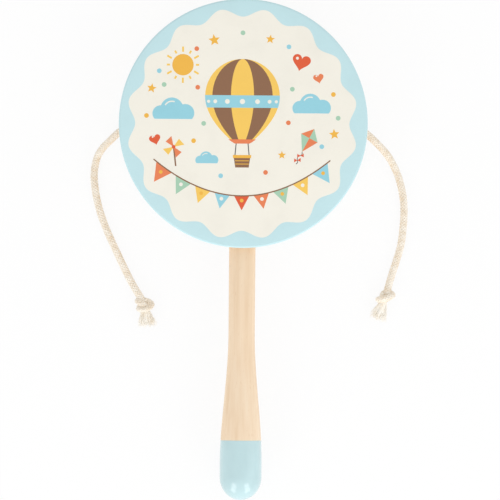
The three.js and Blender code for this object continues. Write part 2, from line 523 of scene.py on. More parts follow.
def lathe(profile: Sequence[Point2], axis: Vector, centre: Vector, steps: int) -> BMesh:
    """Spin an outline into a closed body.

    Args:
        profile: Radius and distance along the axis, in millimetres; it starts and ends on the axis
            or closes on itself.
        axis: The direction that the second number of each point runs in.
        centre: A point on the axis.
        steps: Facets in a full turn.

    Returns:
        The turned body.
    """
    bm = bmesh.new()
    outward = Vector((1.0, 0.0, 0.0))
    verts = [bm.verts.new(centre + outward * r + axis * h) for r, h in profile]
    edges = [bm.edges.new(pair) for pair in zip(verts, verts[1:])]
    bmesh.ops.spin(
        bm, geom=verts + edges, cent=centre, axis=axis, angle=FULL_TURN, steps=steps, use_merge=True,
    )
    bmesh.ops.remove_doubles(bm, verts=bm.verts, dist=MERGE_GAP)
    bmesh.ops.dissolve_degenerate(bm, edges=bm.edges, dist=SLIVER)
    bmesh.ops.recalc_face_normals(bm, faces=bm.faces)
    return bm


def polar(centre: Point2, radius: float, angle: float) -> Point2:
    """A point at a distance and an angle from a centre."""
    return (centre[0] + radius * math.cos(angle), centre[1] + radius * math.sin(angle))


def rounded_corner(corner: Point2, radius: float, start: int, steps: int) -> list[Point2]:
    """Points round a quarter circle, from an angle in quarter turns."""
    return [polar(corner, radius, (start + i / steps) * FULL_TURN / 4) for i in range(steps + 1)]


def publish(bm: BMesh, name: str, materials: Sequence[Material], smooth: bool = True) -> Piece:
    """Turn a mesh in millimetres into an object in metres.

    Args:
        bm: The mesh, which is freed.
        name: The object's name.
        materials: Its materials, by face index.
        smooth: Whether gentle edges are shaded smooth.

    Returns:
        The object, at the origin.
    """
    bmesh.ops.scale(bm, vec=(MM, MM, MM), verts=bm.verts)
    mesh = bpy.data.meshes.new(name)
    bm.to_mesh(mesh)
    bm.free()
    return link_mesh(mesh, name, materials, smooth)


def link_mesh(mesh: bpy.types.Mesh, name: str, materials: Sequence[Material], smooth: bool = True) -> Piece:
    """Show a mesh in the scene.

    Args:
        mesh: The mesh, in metres.
        name: The object's name.
        materials: Its materials, by face index.
        smooth: Whether gentle edges are shaded smooth.

    Returns:
        The object, at the origin.
    """
    mesh.name = name
    if smooth:
        soften(mesh)
    for material in materials:
        mesh.materials.append(material)
    obj = bpy.data.objects.new(name, mesh)
    bpy.context.scene.collection.objects.link(obj)
    return obj


def soften(mesh: bpy.types.Mesh) -> None:
    """Shade a mesh's gentle edges smooth and keep its corners sharp."""
    mesh.shade_smooth()
    mesh.set_sharp_from_angle(angle=SMOOTH_ANGLE)


def shaped_mesh(obj: Piece) -> bpy.types.Mesh:
    """Make a plain mesh of an object as its modifiers or its curve shape it."""
    bpy.context.view_layer.update()
    return bpy.data.meshes.new_from_object(obj.evaluated_get(bpy.context.evaluated_depsgraph_get()))


def settle(obj: Piece, body: Body, slot: Slot, *nodes: str) -> None:
    """Put a rigid piece on its body, over the nodes that it stands for.

    Args:
        obj: The piece.
        body: The body that it rides on.
        slot: The piece's material slot; not used.
        nodes: The nodes that it replaces.
    """
    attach(obj, body.value)
    if nodes:
        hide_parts(*nodes)
    LOG.info("%s rides on %s, %d faces", obj.name, body.value, len(obj.data.polygons))


# Drum


@dataclass
class DrumHeads:
    """The two plywood heads, painted all over but for their inner faces."""

    radius: float = HEAD_RADIUS
    thickness: float = HEAD_THICKNESS
    edge_radius: float = 0.8
    front_bottom: float = HOOP_TOP
    facets: int = 180
    edge_steps: int = 5
    face_rings: tuple[float, ...] = (12.0, 24.0, 36.0, 44.0)
    bare_slope: float = 0.9

    def board(self, bottom: float) -> BMesh:
        """Turn one head.

        Args:
            bottom: The height of its lower face.

        Returns:
            The head's mesh.
        """
        top = bottom + self.thickness
        edge = self.radius - self.edge_radius
        profile = [(0.0, bottom)] + [(r, bottom) for r in self.face_rings]
        profile += rounded_corner((edge, bottom + self.edge_radius), self.edge_radius, -1, self.edge_steps)
        profile += rounded_corner((edge, top - self.edge_radius), self.edge_radius, 0, self.edge_steps)
        profile += [(r, top) for r in reversed(self.face_rings)] + [(0.0, top)]
        return lathe(profile, Vector((0, 0, 1)), Vector((0, 0, 0)), self.facets)

    def dressed(self, name: str, bottom: float, outward: float, finishes: Sequence[Material]) -> Piece:
        """Turn one head and leave its inner face bare.

        Args:
            name: The piece's name.
            bottom: The height of its lower face.
            outward: 1 where the outer face looks up, and -1 where it looks down.
            finishes: The paint and the bare inner face.

        Returns:
            The head.
        """
        bm = self.board(bottom)
        for face in bm.faces:
            face.material_index = int(face.normal.z * outward < -self.bare_slope)
        return publish(bm, name, finishes)

    def build(self, finishes: Sequence[Material]) -> None:
        """Make both heads.

        Args:
            finishes: The paint and the bare inner face.
        """
        for side, bottom, outward in (("front", self.front_bottom, 1.0), ("back", 0.0, -1.0)):
            head = self.dressed(f"{side}_head_board", bottom, outward, finishes)
            settle(head, Body.DRUM, Slot.HEAD, f"{side}_head")


@dataclass
class DrumHoop:
    """The wooden hoop between the heads, bored for the cords and the handle."""

    radius: float = HOOP_RADIUS
    wall: float = HOOP_WALL
    bottom: float = HEAD_THICKNESS
    top: float = HOOP_TOP
    edge_radius: float = 0.5
    edge_steps: int = 3
    facets: int = 180
    hole_facets: int = 48
    cord_hole_clearance: float = 0.3
    cord_hole_drop: float = 2.5
    cord_hole_lip: float = 0.35
    tenon_clearance: float = 0.3
    neck_clearance: float = 0.15
    seat_reach: float = SEAT_REACH
    cut_from: float = 30.0
    cut_to: float = 50.0

    def ring(self) -> BMesh:
        """Turn the hoop with rounded edges.

        Returns:
            The ring's mesh.
        """
        r = self.edge_radius
        near, far = self.radius - self.wall + r, self.radius - r
        low, high = self.bottom + r, self.top - r
        profile: list[Point2] = []
        for corner, start in (((near, low), 2), ((far, low), 3), ((far, high), 0), ((near, high), 1)):
            profile += rounded_corner(corner, r, start, self.edge_steps)
        return lathe(profile + profile[:1], Vector((0, 0, 1)), Vector((0, 0, 0)), self.facets)

    def bore(self, stretches: Sequence[Point2], axis: Vector, centre: Vector) -> Piece:
        """Make a cutter for a round hole of changing width.

        Args:
            stretches: Distances along the axis and the radius that each one reaches.
            axis: The hole's direction, outwards.
            centre: A point on the axis.

        Returns:
            The cutter.
        """
        bm = bmesh.new()
        turn = Vector((0, 0, 1)).rotation_difference(axis).to_matrix().to_4x4()
        start, radius = stretches[0]
        rim = bmesh.ops.create_circle(
            bm, cap_ends=True, segments=self.hole_facets, radius=radius,
            matrix=Matrix.Translation(centre + axis * start) @ turn,
        )
        face = rim["verts"][0].link_faces[0]
        for (here, narrow), (there, wide) in zip(stretches, stretches[1:]):
            grown = bmesh.ops.extrude_face_region(bm, geom=[face, *face.edges])
            face = next(f for f in grown["geom"] if isinstance(f, bmesh.types.BMFace))
            about = Matrix.Translation(-face.calc_center_median())
            share = wide / narrow
            bmesh.ops.scale(bm, vec=(share, share, share), space=about, verts=face.verts)
            bmesh.ops.translate(bm, vec=axis * (there - here), verts=face.verts)
        bmesh.ops.recalc_face_normals(bm, faces=bm.faces)
        return publish(bm, "hoop_cutter", (), smooth=False)

    def cord_bore(self, sign: int) -> Piece:
        """Make the cutter of one cord's hole, with a flared mouth.

        Args:
            sign: -1 for the left hole and 1 for the right one.

        Returns:
            The cutter.
        """
        radius = CORD_DIAMETER / 2 + self.cord_hole_clearance
        wall_at = math.sqrt(self.radius ** 2 - self.cord_hole_drop ** 2)
        mouth = radius + 2 * self.cord_hole_lip
        stretches = [
            (self.cut_from, radius), (wall_at - self.cord_hole_lip, radius),
            (wall_at + self.cord_hole_lip, mouth), (self.cut_to, mouth),
        ]
        return self.bore(stretches, Vector((sign, 0, 0)), Vector((0, -self.cord_hole_drop, MID_HEIGHT)))

    def handle_bore(self) -> Piece:
        """Make the cutter of the handle's socket and of the seat for its shoulder.

        Returns:
            The cutter.
        """
        socket, seat = TENON_RADIUS + self.tenon_clearance, NECK_RADIUS + self.neck_clearance
        stretches = [
            (self.cut_from, socket), (self.seat_reach, socket), (self.seat_reach, seat), (self.cut_to, seat),
        ]
        return self.bore(stretches, Vector((0, -1, 0)), Vector((0, 0, MID_HEIGHT)))

    def build(self, beech: Material) -> None:
        """Make the hoop and cut its holes.

        Args:
            beech: The hoop's material.
        """
        hoop = publish(self.ring(), "hoop_ring", (beech,))
        cutters = [self.cord_bore(-1), self.cord_bore(1), self.handle_bore()]
        for cutter in cutters:
            cut = hoop.modifiers.new(cutter.name, "BOOLEAN")
            cut.operation, cut.solver, cut.object = "DIFFERENCE", "EXACT", cutter
        bored, whole = shaped_mesh(hoop), hoop.data
        hoop.modifiers.clear()
        hoop.data = bored
        for spent in (whole, *(cutter.data for cutter in cutters)):
            bpy.data.meshes.remove(spent)
        bored.name = hoop.name
        soften(bored)
        settle(hoop, Body.DRUM, Slot.WOOD, "drum_hoop")


# Print


def leaned(centre: Point2, across: float, up: float, lean: float) -> Point2:
    """Place a point of a shape that leans about its centre.

    Args:
        centre: The shape's centre.
        across: How far the point lies to the right of it, before the lean.
        up: How far it lies above it.
        lean: The angle.

    Returns:
        The point.
    """
    return (
        centre[0] + across * math.cos(lean) - up * math.sin(lean),
        centre[1] + across * math.sin(lean) + up * math.cos(lean),
    )


def eased(first: float, last: float, steps: int) -> list[float]:
    """Values between two numbers, closest together at both ends."""
    return [first + (last - first) * (0.5 - 0.5 * math.cos(math.pi * i / steps)) for i in range(steps + 1)]


def circle(centre: Point2, radius: float, count: int = 28) -> list[Point2]:
    """Points round a circle."""
    return [polar(centre, radius, FULL_TURN * i / count) for i in range(count)]


def star(centre: Point2, outer: float, inner: float, turn: float, tips: int = 5) -> list[Point2]:
    """Points round a star.

    Args:
        centre: Its centre.
        outer: The radius of its tips.
        inner: The radius of its notches.
        turn: The first tip's angle in degrees.
        tips: How many tips it has.

    Returns:
        The outline.
    """
    first = math.radians(turn)
    radii = (outer, inner)
    return [polar(centre, radii[i % 2], first + math.pi * i / tips) for i in range(2 * tips)]


def heart(centre: Point2, size: float, turn: float, count: int = 40) -> list[Point2]:
    """Points round a heart, by the common heart curve.

    Args:
        centre: Its centre.
        size: Half its width.
        turn: How far it leans, in degrees.
        count: Points round it.

    Returns:
        The outline.
    """
    outline = []
    for i in range(count):
        t = FULL_TURN * i / count
        across = size * math.sin(t) ** 3
        up = size * (13 * math.cos(t) - 5 * math.cos(2 * t) - 2 * math.cos(3 * t) - math.cos(4 * t)) / 16
        outline.append(leaned(centre, across, up, math.radians(turn)))
    return outline


def ribbon(line: Sequence[Point2], width: float) -> list[Point2]:
    """Thicken a line into a band.

    Args:
        line: The line's points.
        width: The band's width.

    Returns:
        The band's outline.
    """
    left: list[Point2] = []
    right: list[Point2] = []
    for i, (x, y) in enumerate(line):
        ax, ay = line[max(i - 1, 0)]
        bx, by = line[min(i + 1, len(line) - 1)]
        length = math.hypot(bx - ax, by - ay)
        nx, ny = -(by - ay) / length * width / 2, (bx - ax) / length * width / 2
        left.append((x + nx, y + ny))
        right.append((x - nx, y - ny))
    return left + right[::-1]


@dataclass
class FacePrint:
    """Flat shapes of ink on a head, one piece for each colour."""

    name: str
    face: float
    outward: float
    shift: Point2 = (-0.4, -0.1)
    lift: float = 0.012
    sink: float = 0.003
    border_waves: int = 16
    border_radius: float = 44.75
    border_wave: float = 1.75
    border_points: int = 320
    shapes: dict[Ink, list[tuple[list[Point2], Layer]]] = field(default_factory=dict)

    def lay(self, ink: Ink, outline: Sequence[Point2], layer: Layer) -> None:
        """Add a shape, by its outline in millimetres on the face."""
        self.shapes.setdefault(ink, []).append((list(outline), layer))

    def scalloped_field(self) -> None:
        """Lay the pale field with its wavy border."""
        outline = []
        for i in range(self.border_points):
            angle = FULL_TURN * i / self.border_points
            wave = self.border_wave * math.cos(self.border_waves * (angle - math.pi / 2))
            outline.append(polar((0.0, 0.0), self.border_radius - wave, angle))
        self.lay(Ink.CREAM, outline, Layer.FIELD)

    def prisms(self, ink: Ink) -> BMesh:
        """Raise every shape of one colour off the face.

        Args:
            ink: The colour.

        Returns:
            The shapes as thin closed bodies.
        """
        bm = bmesh.new()
        for outline, layer in self.shapes[ink]:
            base = self.face - self.outward * self.sink
            verts = [bm.verts.new((x + self.shift[0], y + self.shift[1], base)) for x, y in outline]
            flat = bm.faces.new(verts)
            grown = bmesh.ops.extrude_face_region(bm, geom=[flat], use_keep_orig=True)
            raised = [v for v in grown["geom"] if isinstance(v, bmesh.types.BMVert)]
            height = self.outward * (self.sink + self.lift * layer.value)
            bmesh.ops.translate(bm, vec=(0, 0, height), verts=raised)
        many_sided = [f for f in bm.faces if len(f.verts) > 4]
        bmesh.ops.triangulate(bm, faces=many_sided, ngon_method="EAR_CLIP")
        bmesh.ops.recalc_face_normals(bm, faces=bm.faces)
        return bm

    def build(self, finishes: dict[Ink, Material]) -> None:
        """Make one piece for each colour.

        Args:
            finishes: The material of each colour.
        """
        for ink in self.shapes:
            name = f"{self.name}_{ink.name.lower()}"
            settle(publish(self.prisms(ink), name, (finishes[ink],), smooth=False), Body.DRUM, Slot.HEAD)


@dataclass(frozen=True)
class Balloon:
    """A striped balloon with a dotted belt and a basket."""

    centre: Point2 = (0.0, 11.0)
    radius: float = 15.0
    mouth_half: float = 2.6
    mouth_height: float = -8.0
    fullness: float = 0.85
    crown_trim: float = 0.05
    gores: int = 5
    side_steps: int = 26
    belt: Point2 = (-4.6, 0.4)
    belt_dots: int = 7
    dot_height: float = -2.1
    dot_spread: float = 0.94
    dot_radius: float = 0.95
    dot_least: float = 0.1
    dot_points: int = 18
    skirt_rise: float = 1.7
    skirt_flare: float = 1.12
    skirt_steps: int = 6
    rope_halves: Point2 = (2.4, 2.9)
    rope_drop: float = 5.4
    rope_width: float = 0.38
    basket_drops: Point2 = (5.0, 9.6)
    basket_halves: Point2 = (3.4, 2.7)
    rim_drops: Point2 = (4.6, 5.8)
    rim_halves: Point2 = (3.7, 3.6)
    weave_drops: Point2 = (6.9, 8.2)
    weave_half: float = 2.8
    weave_width: float = 0.3

    def half_width(self, y: float) -> float:
        """The balloon's half width at a height.

        Args:
            y: The height.

        Returns:
            The half width: a half circle above the centre, and a taper to the mouth below it.
        """
        widest = self.centre[1]
        if y >= widest:
            return math.sqrt(max(0.0, self.radius ** 2 - (y - widest) ** 2))
        share = (widest - y) / (widest - self.mouth_height)
        narrowing = math.cos(share * math.pi / 2) ** self.fullness
        return self.mouth_half + (self.radius - self.mouth_half) * narrowing

    def band(self, low: float, high: float, left: float, right: float, steps: int) -> list[Point2]:
        """Outline part of the balloon.

        Args:
            low: The lower edge's height.
            high: The upper edge's height.
            left: The left edge, as a share of the half width.
            right: The right edge, as a share of the half width.
            steps: Chords along each side.

        Returns:
            The outline.
        """
        heights = eased(low, high, steps)
        x = self.centre[0]
        rising = [(x + right * self.half_width(y), y) for y in heights]
        falling = [(x + left * self.half_width(y), y) for y in reversed(heights)]
        return rising + falling

    def hung(self, drops: Point2, halves: Point2) -> list[Point2]:
        """Outline a tapered shape under the mouth.

        Args:
            drops: How far its top and its foot lie under the mouth.
            halves: Its half widths there.

        Returns:
            The outline.
        """
        x = self.centre[0]
        top, foot = (self.mouth_height - drop for drop in drops)
        wide, narrow = halves
        return [(x - wide, top), (x - narrow, foot), (x + narrow, foot), (x + wide, top)]

    def lay(self, sheet: FacePrint) -> None:
        """Lay the balloon, its belt, its ropes and its basket.

        Args:
            sheet: The print.
        """
        x, y = self.centre
        low, crown = self.mouth_height, y + self.radius - self.crown_trim
        edges = [math.sin(math.pi * (i / self.gores - 0.5)) for i in range(self.gores + 1)]
        for i, (left, right) in enumerate(zip(edges, edges[1:])):
            gore = self.band(low, crown, left, right, self.side_steps)
            sheet.lay(Ink.BROWN if i % 2 else Ink.YELLOW, gore, Layer.BACK)
        foot, top = (y + edge for edge in self.belt)
        sheet.lay(Ink.SKY, self.band(foot, top, -1.0, 1.0, self.side_steps), Layer.MOTIF)
        level = y + self.dot_height
        reach = self.half_width(level) * self.dot_spread
        for i in range(self.belt_dots):
            share = math.sin(math.pi * ((i + 0.5) / self.belt_dots - 0.5))
            radius = self.dot_radius * math.cos(share) + self.dot_least
            dot = circle((x + share * reach, level), radius, self.dot_points)
            sheet.lay(Ink.CREAM, dot, Layer.DETAIL)
        flare = self.skirt_flare
        skirt = self.band(low, low + self.skirt_rise, -flare, flare, self.skirt_steps)
        sheet.lay(Ink.ORANGE, skirt, Layer.MOTIF)
        for side in (-1, 1):
            above, below = (x + side * half for half in self.rope_halves)
            rope = [(above, low), (below, low - self.rope_drop)]
            sheet.lay(Ink.INDIGO, ribbon(rope, self.rope_width), Layer.BACK)
        sheet.lay(Ink.BROWN, self.hung(self.basket_drops, self.basket_halves), Layer.MOTIF)
        sheet.lay(Ink.GOLD, self.hung(self.rim_drops, self.rim_halves), Layer.DETAIL)
        for drop in self.weave_drops:
            weave = [(x - self.weave_half, low - drop), (x + self.weave_half, low - drop)]
            sheet.lay(Ink.GOLD, ribbon(weave, self.weave_width), Layer.DETAIL)


@dataclass(frozen=True)
class Sun:
    """A sun with long and short rays."""

    centre: Point2 = (-24.0, 23.5)
    radius: float = 4.3
    rays: int = 12
    ray_gap: float = 0.9
    ray_ends: Point2 = (2.2, 3.0)
    ray_width: float = 0.75

    def lay(self, sheet: FacePrint) -> None:
        """Lay the sun and its rays.

        Args:
            sheet: The print.
        """
        sheet.lay(Ink.GOLD, circle(self.centre, self.radius), Layer.MOTIF)
        for i in range(self.rays):
            angle = FULL_TURN * i / self.rays
            reaches = (self.radius + self.ray_gap, self.radius + self.ray_ends[i % 2])
            ray = [polar(self.centre, reach, angle) for reach in reaches]
            sheet.lay(Ink.YELLOW, ribbon(ray, self.ray_width), Layer.BACK)


@dataclass(frozen=True)
class Cloud:
    """A cloud of round lobes on a flat base, with a pale line in it."""

    place: Point2
    size: float
    lobes: tuple[Point3, ...] = ((-5.4, 0.4, 3.2), (-0.8, 2.2, 4.6), (4.6, 0.6, 3.6))
    base: float = -1.8
    steps: int = 72
    line_radius: float = 3.1
    line_degrees: range = range(70, 156, 8)
    line_width: float = 0.5

    def outline(self) -> list[Point2]:
        """Follow the lobes' tops from left to right, and the base back.

        Returns:
            The outline.
        """
        x, y = self.place
        lobes = [tuple(self.size * number for number in lobe) for lobe in self.lobes]
        left = min(cx - r for cx, _, r in lobes)
        right = max(cx + r for cx, _, r in lobes)
        top: list[Point2] = []
        bottom: list[Point2] = []
        for across in eased(left, right, self.steps):
            met = [(cx, cy, r) for cx, cy, r in lobes if abs(across - cx) <= r + NEARLY_NOTHING]
            reach = [(cy, math.sqrt(max(0.0, r * r - (across - cx) ** 2))) for cx, cy, r in met]
            top.append((x + across, y + max(cy + h for cy, h in reach)))
            bottom.append((x + across, y + max(self.base * self.size, min(cy - h for cy, h in reach))))
        return top + bottom[-2:0:-1]

    def lay(self, sheet: FacePrint) -> None:
        """Lay the cloud and its line.

        Args:
            sheet: The print.
        """
        sheet.lay(Ink.SKY, self.outline(), Layer.BACK)
        across, up, _ = self.lobes[1]
        middle = (self.place[0] + self.size * across, self.place[1] + self.size * up)
        line = [polar(middle, self.size * self.line_radius, math.radians(d)) for d in self.line_degrees]
        sheet.lay(Ink.CREAM, ribbon(line, self.size * self.line_width), Layer.MOTIF)


@dataclass(frozen=True)
class Pinwheel:
    """A pinwheel on a stick."""

    hub: Point2 = (-27.5, -9.5)
    size: float = 4.4
    sails: int = 4
    turn: float = math.radians(12)
    sail_corner: float = 0.62
    stick: Point2 = (0.9, -7.7)
    stick_width: float = 0.6
    boss_radius: float = 0.75
    boss_points: int = 16

    def lay(self, sheet: FacePrint) -> None:
        """Lay the stick, the sails and the boss.

        Args:
            sheet: The print.
        """
        x, y = self.hub
        stick = [(x, y), (x + self.stick[0], y + self.stick[1])]
        sheet.lay(Ink.BROWN, ribbon(stick, self.stick_width), Layer.BACK)
        corner = self.sail_corner * self.size
        for i in range(self.sails):
            angle = self.turn + FULL_TURN * i / self.sails
            sail = [self.hub, polar(self.hub, self.size, angle), leaned(self.hub, corner, corner, angle)]
            sheet.lay(Ink.ORANGE if i % 2 else Ink.YELLOW, sail, Layer.MOTIF)
        sheet.lay(Ink.RED, circle(self.hub, self.boss_radius, self.boss_points), Layer.DETAIL)


@dataclass(frozen=True)
class Kite:
    """A leaning kite with bows on its tail."""

    centre: Point2 = (26.5, -6.5)
    size: float = 5.2
    lean: float = math.radians(-28)
    half_width: float = 0.72
    cross_height: float = 0.2
    tail_points: int = 11
    tail_step: float = 0.55
    tail_sway: float = 0.5
    tail_turn: float = 0.9
    tail_width: float = 0.28
    bows: tuple[int, ...] = (3, 7)
    bow_reach: float = 1.3
    bow_rises: Point2 = (0.9, -0.7)

    def at(self, across: float, up: float) -> Point2:
        """Place a point of the leaning kite."""
        return leaned(self.centre, across, up, self.lean)

    def lay(self, sheet: FacePrint) -> None:
        """Lay the kite's quarters, its tail and the bows.

        Args:
            sheet: The print.
        """
        wide, cross = self.half_width * self.size, self.cross_height * self.size
        corners = [self.at(0, self.size), self.at(wide, cross), self.at(0, -self.size), self.at(-wide, cross)]
        for i, (first, second) in enumerate(zip(corners, corners[1:] + corners[:1])):
            sheet.lay(Ink.ORANGE if i % 2 else Ink.GREEN, [self.at(0, cross), second, first], Layer.MOTIF)
        tail = [
            self.at(self.tail_sway * math.sin(i * self.tail_turn), -self.size - self.tail_step * i)
            for i in range(self.tail_points)
        ]
        sheet.lay(Ink.INDIGO, ribbon(tail, self.tail_width), Layer.BACK)
        for x, y in (tail[i] for i in self.bows):
            for side in (1, -1):
                ends = [(x + side * self.bow_reach, y + side * rise) for rise in self.bow_rises]
                sheet.lay(Ink.RED, [(x, y), *ends], Layer.MOTIF)


@dataclass(frozen=True)
class Bunting:
    """A sagging string of flags with a dot on each."""

    reach: float = 35.5
    height: float = -14.5
    sag: float = 14.5
    string_width: float = 0.5
    string_steps: int = 48
    flags: int = 9
    flag_spread: float = 0.88
    flag_half: float = 0.088
    flag_lean: float = 0.9
    flag_drop: float = 0.95
    dot_radius: float = 0.75
    dot_points: int = 16
    inks: tuple[Ink, ...] = (Ink.ORANGE, Ink.GREEN, Ink.YELLOW, Ink.SKY, Ink.RED)

    def string_at(self, share: float) -> Point2:
        """A point of the string, from -1 to 1."""
        return (share * self.reach, self.height - self.sag * (1 - share * share))

    def lay(self, sheet: FacePrint) -> None:
        """Lay the string, the flags and their dots.

        Args:
            sheet: The print.
        """
        string = [self.string_at(2 * i / self.string_steps - 1) for i in range(self.string_steps + 1)]
        sheet.lay(Ink.BROWN, ribbon(string, self.string_width), Layer.MOTIF)
        for i in range(self.flags):
            middle = self.flag_spread * (2 * i / (self.flags - 1) - 1)
            (ax, ay), (bx, by) = (self.string_at(middle + half) for half in (-self.flag_half, self.flag_half))
            tip = ((ax + bx) / 2 + (by - ay) * self.flag_lean, (ay + by) / 2 - (bx - ax) * self.flag_drop)
            sheet.lay(self.inks[i % len(self.inks)], [(ax, ay), tip, (bx, by)], Layer.BACK)
            middle_point = ((ax + bx + tip[0]) / 3, (ay + by + tip[1]) / 3)
            dot = circle(middle_point, self.dot_radius, self.dot_points)
            sheet.lay(Ink.CREAM if i % 2 else Ink.GOLD, dot, Layer.MOTIF)


@dataclass(frozen=True)
class Scatter:
    """Hearts, stars and dots in the open places."""

    hearts: tuple[tuple[Point2, float, float, Ink], ...] = (
        ((23.5, 25.0), 3.7, -14.0, Ink.RED), ((30.5, 18.5), 2.1, 12.0, Ink.ORANGE),
        ((-35.0, -6.5), 2.3, 16.0, Ink.RED),
    )
    glint_place: Point2 = (-0.42, 0.4)
    glint_radius: float = 0.16
    glint_points: int = 14
    stars: tuple[tuple[Point2, float, float], ...] = (
        ((-11.5, 33.5), 2.4, 98.0), ((11.0, 34.0), 1.9, 84.0), ((-36.5, 14.0), 2.0, 80.0),
        ((37.0, -4.0), 2.2, 96.0), ((16.0, -12.5), 1.7, 90.0),
    )
    star_notch: float = 0.45
    dots: tuple[tuple[Point2, Ink], ...] = (
        ((0.0, 36.5), Ink.GREEN), ((-18.5, 30.0), Ink.ORANGE), ((18.5, 31.0), Ink.SKY),
        ((-31.5, 15.5), Ink.GREEN), ((-18.0, 14.5), Ink.ORANGE), ((20.0, 14.0), Ink.GREEN),
        ((36.5, 12.0), Ink.GOLD), ((-38.5, 3.0), Ink.GOLD), ((18.5, 0.5), Ink.ORANGE),
        ((-15.5, 0.0), Ink.GREEN), ((38.5, 2.5), Ink.GREEN), ((-19.5, -7.0), Ink.GOLD),
        ((9.5, -19.5), Ink.ORANGE), ((-33.5, 21.0), Ink.SKY), ((32.0, -9.0), Ink.SKY),
        ((-8.5, -21.0), Ink.SKY),
    )
    dot_radius: float = 0.95
    dot_points: int = 18

    def lay(self, sheet: FacePrint) -> None:
        """Lay the hearts with their glints, the stars and the dots.

        Args:
            sheet: The print.
        """
        for place, size, turn, ink in self.hearts:
            sheet.lay(ink, heart(place, size, turn), Layer.BACK)
            glint = (place[0] + self.glint_place[0] * size, place[1] + self.glint_place[1] * size)
            sheet.lay(Ink.CREAM, circle(glint, self.glint_radius * size, self.glint_points), Layer.MOTIF)
        for place, size, turn in self.stars:
            sheet.lay(Ink.GOLD, star(place, size, self.star_notch * size, turn), Layer.BACK)
        for place, ink in self.dots:
            sheet.lay(ink, circle(place, self.dot_radius, self.dot_points), Layer.BACK)


@dataclass(frozen=True)
class FairPicture:
    """A fairground sky: a striped balloon over bunting, among clouds, stars and hearts."""

    clouds: tuple[Cloud, ...] = (
        Cloud((-27.5, 3.5), 1.0), Cloud((28.0, 6.0), 0.92), Cloud((-14.0, -15.0), 0.55),
    )

    def lay(self, sheet: FacePrint) -> None:
        """Lay the whole picture.

        Args:
            sheet: The print.
        """
        sheet.scalloped_field()
        for motif in (Balloon(), *self.clouds, Pinwheel(), Kite(), Bunting(), Sun(), Scatter()):
            motif.lay(sheet)


# Handle


@dataclass
class Handle:
    """The turned handle with its dipped end."""

    axis_height: float = MID_HEIGHT
    neck_radius: float = NECK_RADIUS
    grip_radius: float = 8.45
    straight_start: float = 55.0
    neck_end: float = 85.0
    grip_start: float = 137.0
    round_end_start: float = 142.3
    tip: float = 151.6
    lacquer_line: float = 127.5
    film: float = 0.12
    proud: float = 0.02
    bead_shares: Point2 = (0.6, 0.5)
    bead_places: Point2 = (0.22, 0.6)
    bead_end: float = 1.6
    seat_reach: float = SEAT_REACH
    tenon_radius: float = TENON_RADIUS
    tenon_end: float = 38.4
    tenon_chamfer: float = 0.4
    facets: int = 192
    neck_steps: int = 6
    swell_steps: int = 36
    dipped_steps: int = 8
    skin_steps: int = 10
    end_steps: int = 30

    def radius_at(self, reach: float) -> float:
        """The outer radius at a distance from the drum's centre.

        Args:
            reach: The distance.

        Returns:
            The radius of the neck, the swelling grip or the round end.
        """
        if reach >= self.round_end_start:
            share = (reach - self.round_end_start) / (self.tip - self.round_end_start)
            return self.grip_radius * math.sqrt(max(0.0, 1 - share * share))
        swell = smoothstep(reach, self.neck_end, self.grip_start)
        return self.neck_radius + (self.grip_radius - self.neck_radius) * swell

    def side(self, start: float, end: float, inset: float, steps: int) -> list[Point2]:
        """Points along the side, as radii and distances along -Y, under the surface by an inset."""
        reaches = [start + (end - start) * i / steps for i in range(steps + 1)]
        return [(self.radius_at(r) - inset, r) for r in reaches]

    def dome(self, inset: float) -> list[Point2]:
        """Points round the end, from the side to the tip.

        Args:
            inset: How far under the outer surface they lie.

        Returns:
            Radii and distances along -Y, the last one on the axis.
        """
        across, deep = self.grip_radius - inset, self.tip - self.round_end_start - inset
        angles = [FULL_TURN / 4 * i / self.end_steps for i in range(self.end_steps)]
        points = [(across * math.cos(a), self.round_end_start + deep * math.sin(a)) for a in angles]
        return [*points, (0.0, self.round_end_start + deep)]

    def dipped(self) -> list[Point2]:
        """Points along the wood under the lacquer, to the tip."""
        side = self.side(self.lacquer_line, self.grip_start, self.film, self.dipped_steps)
        return side[1:] + self.dome(self.film)

    def wood_outline(self) -> list[Point2]:
        """Outline the wood, from the tenon's end to the tip.

        Returns:
            Radii and distances along -Y.
        """
        end, radius = self.tenon_end, self.tenon_radius
        outline = [(0.0, end), (radius - self.tenon_chamfer, end), (radius, end + self.tenon_chamfer)]
        outline += [(radius, self.seat_reach), (self.neck_radius, self.seat_reach)]
        outline += self.side(self.straight_start, self.neck_end, 0.0, self.neck_steps)
        outline += self.side(self.neck_end, self.lacquer_line, 0.0, self.swell_steps)[1:]
        return outline + self.dipped()

    def skin_outline(self) -> list[Point2]:
        """Outline the lacquer, with a thicker bead along its edge.

        Returns:
            Radii and distances along -Y, closed.
        """
        line, lip = self.lacquer_line, self.radius_at(self.lacquer_line)
        outline = [(lip - self.film, line), (lip + self.proud, line - self.proud)]
        for share, place in zip(self.bead_shares, self.bead_places):
            outline.append((lip + self.film * share, line + place))
        outline += self.side(line + self.bead_end, self.grip_start, -self.proud, self.skin_steps)
        outline += self.dome(0.0)
        return outline + self.dipped()[::-1] + outline[:1]

    def turned(self, outline: Sequence[Point2]) -> BMesh:
        """Spin an outline about the handle's axis."""
        return lathe(outline, Vector((0, -1, 0)), Vector((0, 0, self.axis_height)), self.facets)

    def build(self, beech: Material, lacquer: Material) -> None:
        """Make the handle and its lacquer.

        Args:
            beech: The wood.
            lacquer: The dipped end.
        """
        wood = publish(self.turned(self.wood_outline()), "handle_turning", (beech,))
        settle(wood, Body.DRUM, Slot.WOOD, "handle")
        dip = publish(self.turned(self.skin_outline()), "handle_dip", (lacquer,))
        settle(dip, Body.DRUM, Slot.LACQUER, "handle_lacquer")


# Cords


